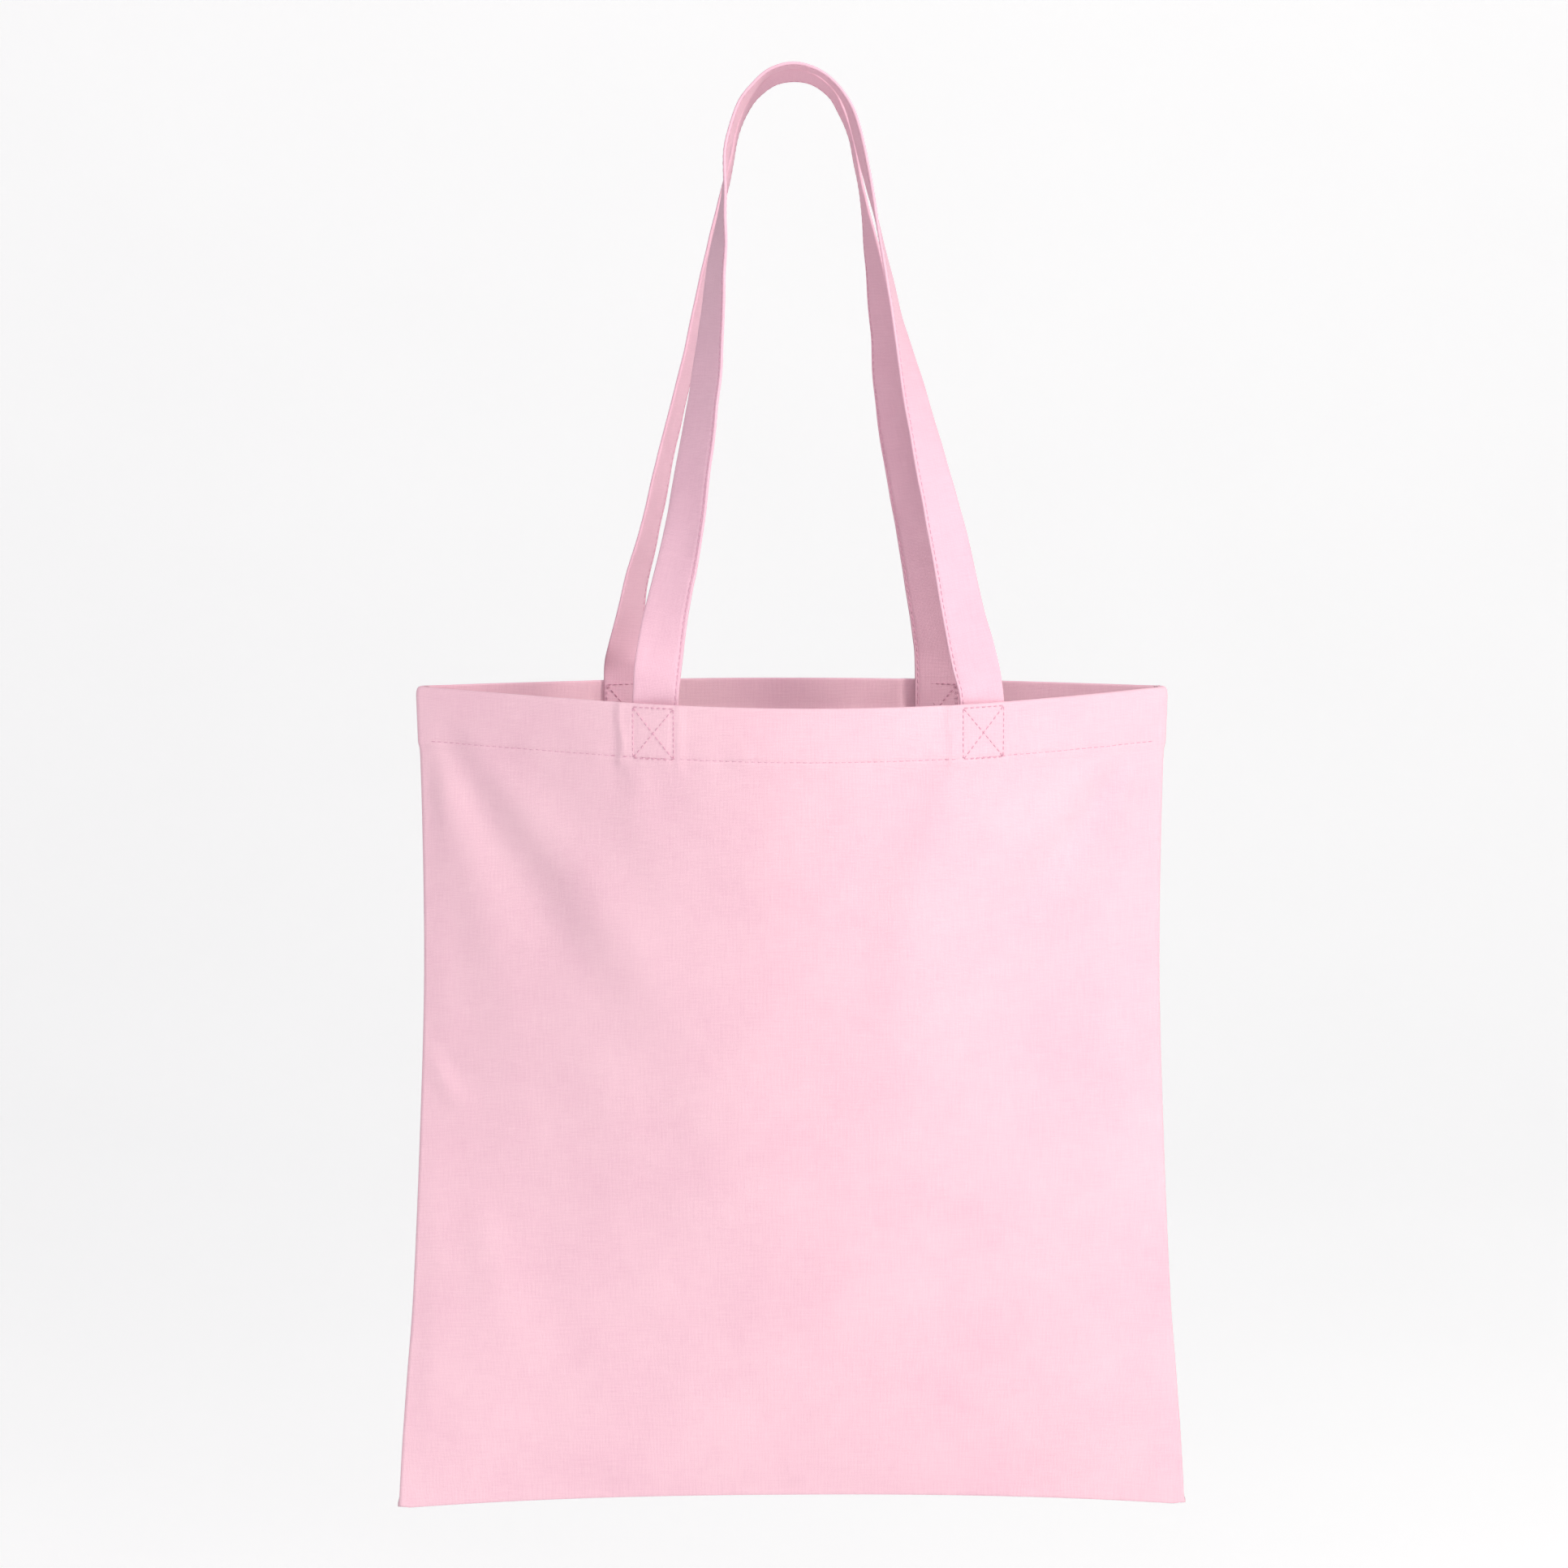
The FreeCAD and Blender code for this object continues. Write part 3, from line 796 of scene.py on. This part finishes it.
def strapLine(side):
    # the strap's middle line and its turn, at even steps
    stations = strapRoutes[side]
    top = max(range(len(stations)), key=lambda index: stations[index][1])
    foldZ = stations[2][1]
    hookY = strapShape["hookY"][side]
    ends = [rimY(side, stations[index][0] / 1000, strapShape["depth"]) for index in (0, -1)]
    points = []
    for index, (x, z, turn) in enumerate(stations):
        hemY = ends[0] if index <= top else ends[1]
        share = min(z / foldZ, 1)
        points.append((Vector((x / 1000, mix(hookY, hemY, share), z / 1000)), turn))
    run = [0]
    for (first, _), (second, _) in zip(points, points[1:]):
        run.append(run[-1] + (second - first).length)
    count = round(run[-1] / strapShape["step"])
    tracks = [[(run[i], points[i][0][axis]) for i in range(len(run))] for axis in range(3)]
    turns = [(run[i], points[i][1]) for i in range(len(run))]
    line = []
    for index in range(count + 1):
        at = run[-1] * index / count
        line.append((Vector([between(track, at) for track in tracks]), between(turns, at), at))
    return line


def strapFrames(side):
    # for each step: middle, direction across, face direction, distance along
    tilt = math.radians(strapShape["tilt"])
    away = Vector((0, math.cos(tilt), -math.sin(tilt)))
    line = strapLine(side)
    frames = []
    for index, (point, turn, at) in enumerate(line):
        along = (line[min(index + 1, len(line) - 1)][0] - line[max(index - 1, 0)][0]).normalized()
        edgeOn = (away - along * away.dot(along)).normalized()
        inwards = edgeOn.cross(along)
        angle = math.radians(turn)
        across = inwards * math.sin(angle) + edgeOn * math.cos(angle)
        frames.append((point, across, along.cross(across), at))
    return frames


def strapRipple(side, share, at):
    # how far a strap waves out of its plane
    seed = strapShape["seed"][side]
    ripple = 0.00014 * math.sin(at / 0.0048 + seed) * ease(0.3, 1.0, share)
    ripple += 0.00040 * noise.noise(Vector((at / 0.017, share * 0.8, seed + 8)))
    return ripple + 0.00070 * noise.noise(Vector((at / 0.055, share * 0.5, seed + 2)))


def strapMesh(side):
    frames = strapFrames(side)
    halfWidth = strapShape["width"] / 2
    halfThick = strapShape["thickness"] / 2
    upper = [(*point, 1) for point in strapFace]
    lower = [(*point, -1) for point in reversed(strapFace)]
    ring = upper + lower[1:]
    around = [0]
    for first, second in zip(ring, ring[1:]):
        step = math.hypot(
            (second[0] - first[0]) * halfWidth, (second[1] * second[2] - first[1] * first[2]) * halfThick
        )
        around.append(around[-1] + step)
    flip = strapShape["stitchEdge"][side]
    columns = [(*item, distance) for item, distance in zip(ring, around)]
    seed = strapShape["seed"][side]

    def place(column, row):
        share, rise, face, _ = column
        middle, across, outward, at = row
        wobble = noise.noise(Vector((at / 0.03, seed, face * 2.0)))
        edge = 1 + 0.012 * noise.noise(Vector((at / 0.011, seed + 4, share)))
        dent = 1.0
        if abs(share - strapShape["stitchShare"]) < 0.01:
            dent = 0.8 + 0.2 * math.cos(2 * math.pi * at / (2 * strapShape["step"]))
        ripple = strapRipple(side, share, at)
        thick = halfThick * rise * dent * (1 + 0.10 * wobble)
        return middle + across * (flip * share * halfWidth * edge) + outward * (face * thick + ripple)

    bm = gridMesh(columns, frames, place, lambda column, row: (column[3], row[3]))
    bmesh.ops.remove_doubles(bm, verts=bm.verts[:], dist=0.00001)
    rims = [edge for edge in bm.edges if edge.is_boundary]
    bmesh.ops.holes_fill(bm, edges=rims, sides=0)
    bmesh.ops.recalc_face_normals(bm, faces=bm.faces[:])
    return bm


# Sewing

thread = {
    "boxPitch": 0.0027,
    "width": 0.00055,
    "height": 0.00055,
    "fill": 0.70,  # how much of the pitch shows thread
    "lift": 0.00010,  # how far the thread's middle stands off the cloth
    "overlockPitch": 0.0030,
    "overlockReach": 0.0042,
    "overlockHeight": 0.0003,
    "run": 40,  # stitches made at a time
}


def addStitch(stitches, first, second, outward, height=None):
    # one visible length of thread between two needle holes
    along = (second - first) * thread["fill"]
    side = outward.cross(along).normalized()
    up = along.cross(side).normalized()
    parts = (side * thread["width"] / 2, up * (height or thread["height"]) / 2, along / 2)
    place = Matrix([(*row,) for row in zip(*parts)]).to_4x4()
    place.translation = (first + second) / 2 + up * thread["lift"]
    stitches.append(place)


def threadMesh(stitches):
    # made in short runs, because adding to a large mesh is slow
    whole = bmesh.new()
    for start in range(0, len(stitches), thread["run"]):
        run = bmesh.new()
        for place in stitches[start:start + thread["run"]]:
            bmesh.ops.create_uvsphere(run, u_segments=6, v_segments=5, radius=1, matrix=place)
        mesh = bpy.data.meshes.new("run")
        run.to_mesh(mesh)
        run.free()
        whole.from_mesh(mesh)
        bpy.data.meshes.remove(mesh)
    return whole


def hemStitches(side):
    stitches = []
    count = round(pouch["flatHalf"] / pouch["columnStep"])
    outerRow = (pouch["hem"] - hemPrint["rowRise"], 0.0)
    innerRow = (pouch["hem"] - 0.0022, pouch["thickLayer"])
    for t, inward in (outerRow, innerRow):
        for index in range(2, count - 2):
            first, second = (index * 2 / count - 1, (index + 1) * 2 / count - 1)
            wander = 0.00018 * noise.noise(Vector((index * 0.7, t * 900, side * 3.0)))
            ends = [clothPoint(side, u, t + wander, inward) for u in (first, second)]
            outward = clothNormal(side, (first + second) / 2, t, inward)
            if inward:
                outward = -outward
            addStitch(stitches, ends[0], ends[1], outward)
    return threadMesh(stitches)


def boxRuns(width, height):
    # the square and its two diagonals, as lines from the middle of the box
    w = width / 2
    h = height / 2
    corners = [(-w, -h), (w, -h), (w, h), (-w, h)]
    runs = [(corners[i], corners[(i + 1) % 4]) for i in range(4)]
    runs += [(corners[0], corners[2]), (corners[1], corners[3])]
    return runs


def boxStitches(side, centre):
    stitches = []
    halfThick = strapShape["thickness"] / 2
    middleT = pouch["hem"] / 2 + 0.0003
    for first, second in boxRuns(strapShape["width"] - 0.003, pouch["hem"] - 0.0028):
        length = math.hypot(second[0] - first[0], second[1] - first[1])
        count = round(length / thread["boxPitch"])
        for index in range(count):
            ends = []
            for share in (index / count, (index + 1) / count):
                x = centre + mix(first[0], second[0], share)
                t = middleT + mix(first[1], second[1], share)
                ends.append((x / halfWidthAt(t, 0), t))
            u = (ends[0][0] + ends[1][0]) / 2
            t = (ends[0][1] + ends[1][1]) / 2
            outward = clothNormal(side, u, t)
            outer = [clothPoint(side, *end) for end in ends]
            addStitch(stitches, outer[0], outer[1], outward)
            # the same thread shows on the strap's face inside the bag
            depth = strapShape["depth"] + halfThick * 0.92
            inner = []
            for endU, endT in ends:
                x = endU * halfWidthAt(endT, 0)
                inner.append(Vector((x, rimY(side, x, depth), heightAt(side, endU, endT))))
            addStitch(stitches, inner[0], inner[1], Vector((0, -side, 0)))
    return threadMesh(stitches)


def strapStitches(side):
    stitches = []
    frames = strapFrames(side)
    share = strapShape["stitchShare"]
    reach = strapShape["width"] / 2 * share * strapShape["stitchEdge"][side]
    rise = strapShape["thickness"] / 2 * 0.66
    for face in (1, -1):
        holes = []
        for middle, across, outward, at in frames[1::2]:
            lift = outward * (face * rise + strapRipple(side, share, at))
            holes.append((middle + across * reach + lift, outward * face))
        for (first, outward), (second, _) in zip(holes, holes[1:]):
            addStitch(stitches, first, second, outward)
    return threadMesh(stitches)


def overlockEdge(line, inwards):
    # thread that loops over a raw edge, on both faces of the two layers
    stitches = []
    pitch = thread["overlockPitch"]
    height = thread["overlockHeight"]
    total = sum((b - a).length for a, b in zip(line, line[1:]))
    count = int(total / pitch)
    run = [0]
    for first, second in zip(line, line[1:]):
        run.append(run[-1] + (second - first).length)
    tracks = [[(run[i], line[i][axis]) for i in range(len(run))] for axis in range(3)]
    along = (line[-1] - line[0]).normalized()
    layers = pouch["cloth"] + 0.00025
    for index in range(count):
        for face in (1, -1):
            lift = Vector((0, face * layers, 0))
            edge = Vector([between(track, index * pitch) for track in tracks]) + lift
            back = edge - inwards * thread["overlockReach"] + along * pitch * 0.55
            addStitch(stitches, edge, back, lift, height)
            addStitch(stitches, back, back + along * pitch * 1.1, lift, height)
        edge = Vector([between(track, index * pitch) for track in tracks]) + inwards * 0.0003
        side = Vector((0, layers, 0))
        addStitch(stitches, edge - side, edge + side, inwards, height)
    return threadMesh(stitches)


def seamEdges():
    # free edges of the side and bottom allowances, and the way that each one faces
    seams = {}
    for name, hand in (("left", -1), ("right", 1)):
        line = []
        for index in range(20):
            t = mix(0.034, pouch["depth"] - 0.010, index / 19)
            x = hand * (halfWidthAt(t, 0) - pouch["allowance"])
            line.append(Vector((x, pouch["seamY"], heightAt(frontSide, hand, t))))
        seams[name] = (line, Vector((-hand, 0, 0)))
    line = []
    for index in range(24):
        u = mix(-0.925, 0.925, index / 23)
        t = pouch["depth"] - pouch["allowance"]
        line.append(Vector((u * halfWidthAt(t, 0), pouch["seamY"], heightAt(frontSide, u, t))))
    seams["bottom"] = (line, Vector((0, 0, 1)))
    return seams


# Making the scene

addCamera()
addLamps()
addWorld()
addStage()
print("stage, lamps and camera are in place")

canvas = wovenMaterial("pinkCanvas", canvasFinish)
strapCanvas = wovenMaterial("strapCanvas", strapFinish)
cotton = threadMaterial("threadDarkenedForHoleShade", holeShadedThreadFinish)
looseThread = threadMaterial("overlockThread", looseThreadFinish)

for side, name in ((backSide, "back"), (frontSide, "front")):
    sheet = thicken(addPiece(f"{name}Cloth", pouchSheet(side), canvas), pouch["cloth"])
    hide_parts(f"{name}_panel", f"{name}_hem")
    row = addPiece(f"{name}HemStitches", hemStitches(side), cotton)
    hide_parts(f"{name}_hem_stitching")
    sewn = [row]
    for hand, centre in zip(("left", "right"), strapEnds[side]):
        box = addPiece(f"{name}{hand.title()}BoxStitches", boxStitches(side, centre), cotton)
        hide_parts(f"{name}_{hand}_box_stitching")
        sewn.append(box)
    for piece in [sheet, *sewn]:
        if side == frontSide:
            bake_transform(piece)
        else:
            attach(piece, "back")
    print(name, "cloth and its sewing are made")

straps = {
    "front": {"side": frontSide, "length": 0.677},
    "back": {"side": backSide, "length": 0.660},
}

for name, facts in straps.items():
    strap = addPiece(f"{name}Strap", strapMesh(facts["side"]), strapCanvas)
    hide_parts(f"{name}_handle", f"{name}_left_handle_end", f"{name}_right_handle_end")
    row = addPiece(f"{name}StrapStitches", strapStitches(facts["side"]), cotton)
    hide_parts(f"{name}_handle_stitching")
    for piece in (strap, row):
        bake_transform(piece)
    print(name, "strap is made")

for name, (line, inwards) in seamEdges().items():
    piece = addPiece(f"{name}Overlock", overlockEdge(line, inwards), looseThread)
    node = "bottom_seam" if name == "bottom" else f"{name}_side_seam"
    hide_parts(node)
    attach(piece, "back")
print("overlocked edges are made")
